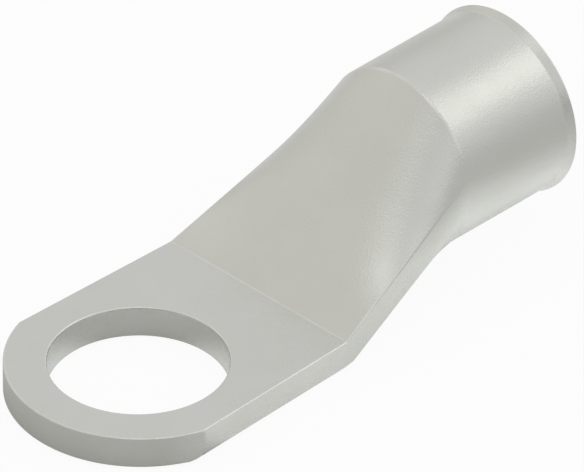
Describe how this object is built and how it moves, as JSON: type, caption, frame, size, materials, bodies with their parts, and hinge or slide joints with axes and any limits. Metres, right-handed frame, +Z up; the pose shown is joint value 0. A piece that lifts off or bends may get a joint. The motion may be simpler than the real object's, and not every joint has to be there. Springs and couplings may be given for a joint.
{
  "type": "ring terminal",
  "caption": "Tubular cable lug with a flat ring palm for a stud, a squeezed middle and a round crimp barrel with a flared mouth.",
  "frame": {"origin": "centre of the stud hole on the palm's underside", "axes": "+X from the stud hole towards the barrel's mouth, +Z up through the palm, the part being mirror symmetric about the XZ plane"},
  "size_m": [0.0375, 0.0152, 0.0118],
  "materials": {
    "tin_plating": "satin tin plating over copper"
  },
  "bodies": {
    "root": {"ring_terminal": "tin_plating"}
  },
  "joints": []
}
